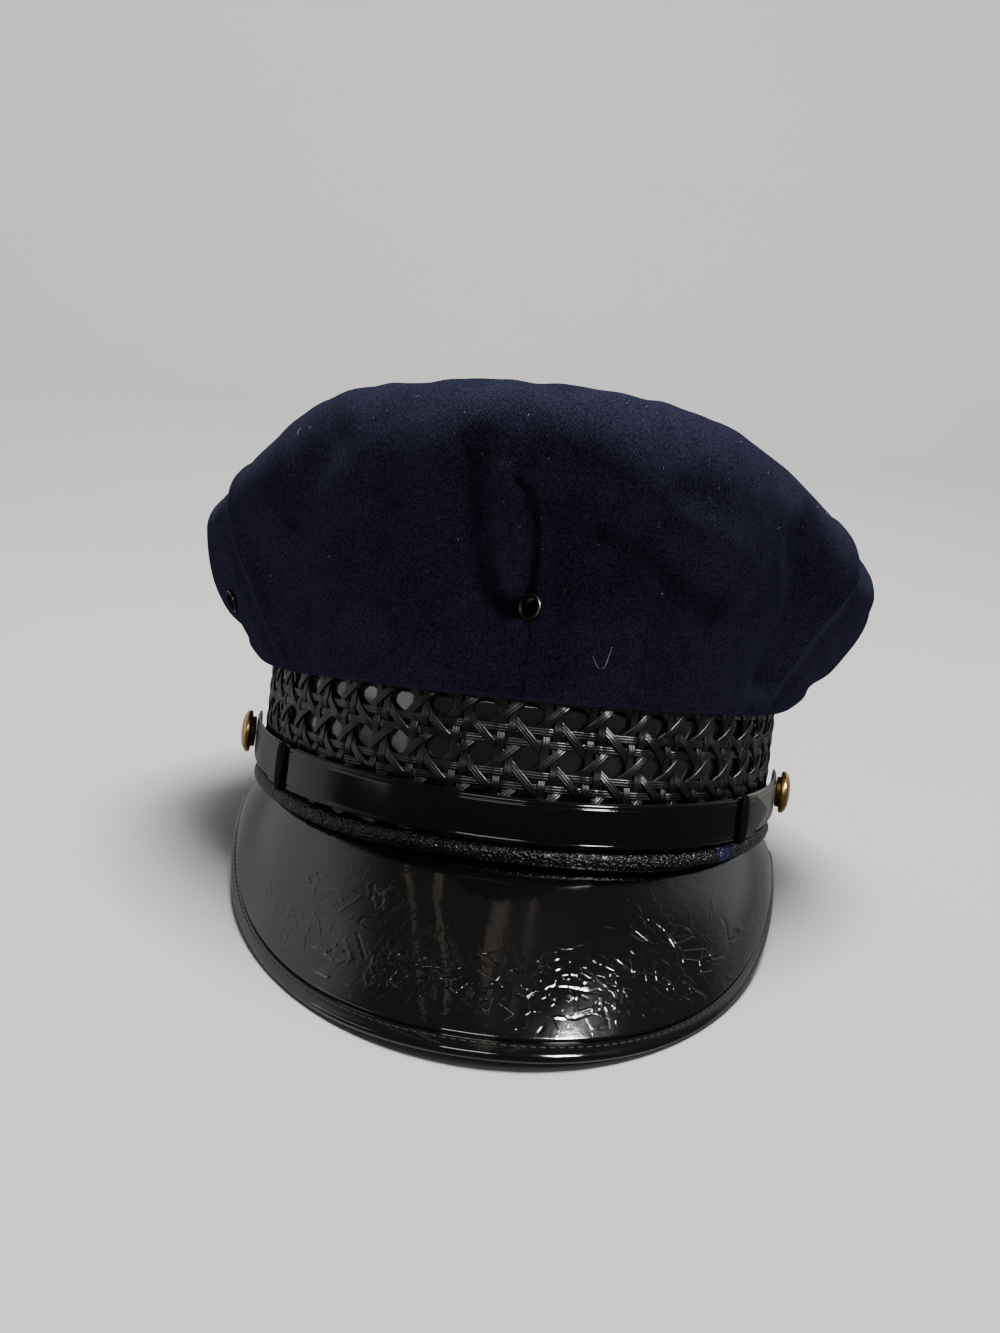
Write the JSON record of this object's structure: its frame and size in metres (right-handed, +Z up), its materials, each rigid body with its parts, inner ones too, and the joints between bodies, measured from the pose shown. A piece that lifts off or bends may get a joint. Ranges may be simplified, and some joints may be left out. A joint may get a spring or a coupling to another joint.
{
  "type": "peaked cap",
  "caption": "Soft eight-point peaked cap in navy cloth with a woven black cane band, patent peak, front chin strap and gold buttons.",
  "frame": {"origin": "middle of the cap's footprint, on the surface that it rests on", "axes": "+Z up; -Y towards the peak, which is the front; +X towards the wearer's left"},
  "size_m": [0.2302, 0.2854, 0.1685],
  "materials": {
    "cloth": "dark navy wool cloth, matt, fine twill with a little lint",
    "cane": "woven cane, black, semi-gloss",
    "sweatband": "smooth dark leather, glossy",
    "grained": "black pebble-grained leather, semi-gloss",
    "patent": "black patent leather, high gloss, creased",
    "gold": "aged gold-coloured metal, polished",
    "blackened": "blackened metal, worn bright at the rim"
  },
  "bodies": {
    "root": {"crown_front": "cloth", "crown_left": "cloth", "crown_right": "cloth", "crown_top": "cloth", "cane_band": "cane", "sweatband": "sweatband", "welt": "grained", "visor": "patent", "visor_binding": "patent", "strap_outer": "patent", "strap_under": "patent", "keeper_left": "grained", "keeper_right": "grained", "button_left": "gold", "button_right": "gold", "eyelet_front": "blackened", "eyelet_left": "blackened"}
  },
  "joints": []
}
